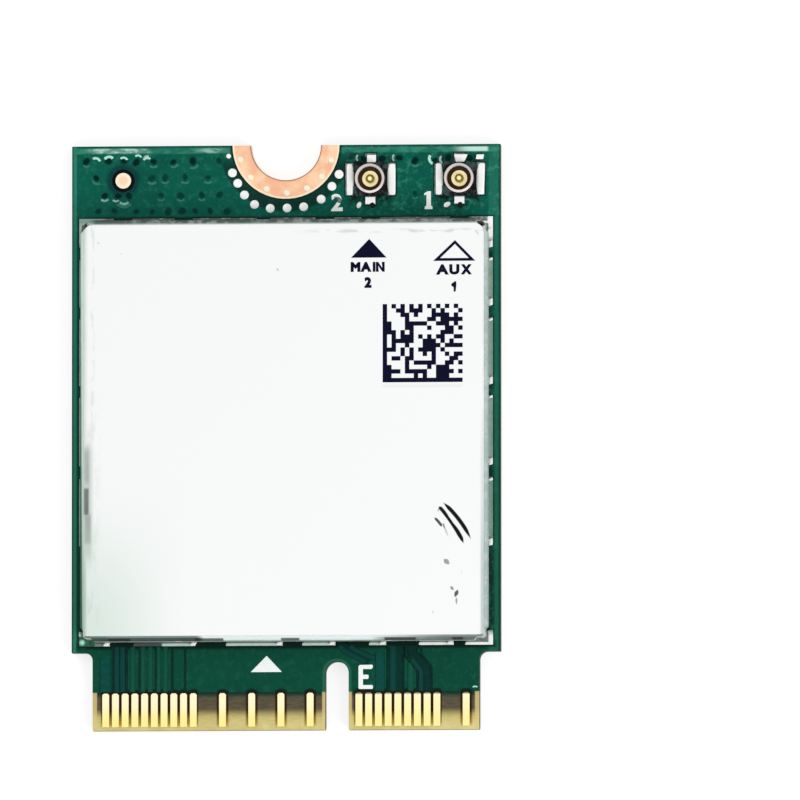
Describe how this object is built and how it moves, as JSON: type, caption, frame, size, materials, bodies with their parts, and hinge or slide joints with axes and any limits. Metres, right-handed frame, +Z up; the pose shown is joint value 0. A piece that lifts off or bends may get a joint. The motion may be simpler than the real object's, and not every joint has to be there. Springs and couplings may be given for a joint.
{
  "type": "ngff wifi card",
  "caption": "Small keyed edge-connector wireless card: green board with gold contacts, shield can with white label, coaxial antenna ports and a half-round screw notch.",
  "frame": {"origin": "under the middle of the card, on the plane of its underside", "axes": "+X right seen from above, +Y from the edge connector to the screw notch, +Z up out of the component side"},
  "size_m": [0.022, 0.03, 0.0023],
  "materials": {
    "solder_mask": "glass-fibre laminate under green solder mask",
    "gold_plating": "gold plate",
    "copper_land": "thinly plated copper",
    "tin": "bright solder",
    "port_metal": "plated copper alloy",
    "port_insulator": "dark moulded resin",
    "shield_sheet": "tinned steel sheet",
    "label_paper": "white film label",
    "chip_moulding": "black moulding compound",
    "chip_ceramic": "fired tan ceramic",
    "filter_ceramic": "white fired ceramic",
    "ferrite": "dark ferrite"
  },
  "bodies": {
    "root": {"circuit_board": "solder_mask", "edge_contacts_top": "gold_plating", "edge_contacts_bottom": "gold_plating", "back_screw_land": "copper_land", "ground_dots": "tin", "fiducial_dot": "copper_land", "port_lands": "tin", "main_port_shell": "port_metal", "main_port_base": "port_insulator", "main_port_contact": "gold_plating", "aux_port_shell": "port_metal", "aux_port_base": "port_insulator", "aux_port_contact": "gold_plating", "shield_lands": "tin", "shield_solder": "tin", "shield_fence": "shield_sheet", "shield_cover": "shield_sheet", "cover_label": "label_paper", "radio_chip": "chip_moulding", "radio_chip_leads": "tin", "radio_chip_ground_pad": "tin", "front_end_main": "chip_moulding", "front_end_aux": "chip_moulding", "front_end_pads": "tin", "memory_chip": "chip_moulding", "memory_chip_leads": "tin", "crystal_case": "chip_ceramic", "crystal_lid": "shield_sheet", "crystal_pads": "tin", "inductor_cores": "ferrite", "inductor_terminals": "tin", "capacitor_bodies": "chip_ceramic", "capacitor_terminals": "tin", "antenna_filters": "filter_ceramic", "antenna_filter_terminals": "tin"}
  },
  "joints": []
}
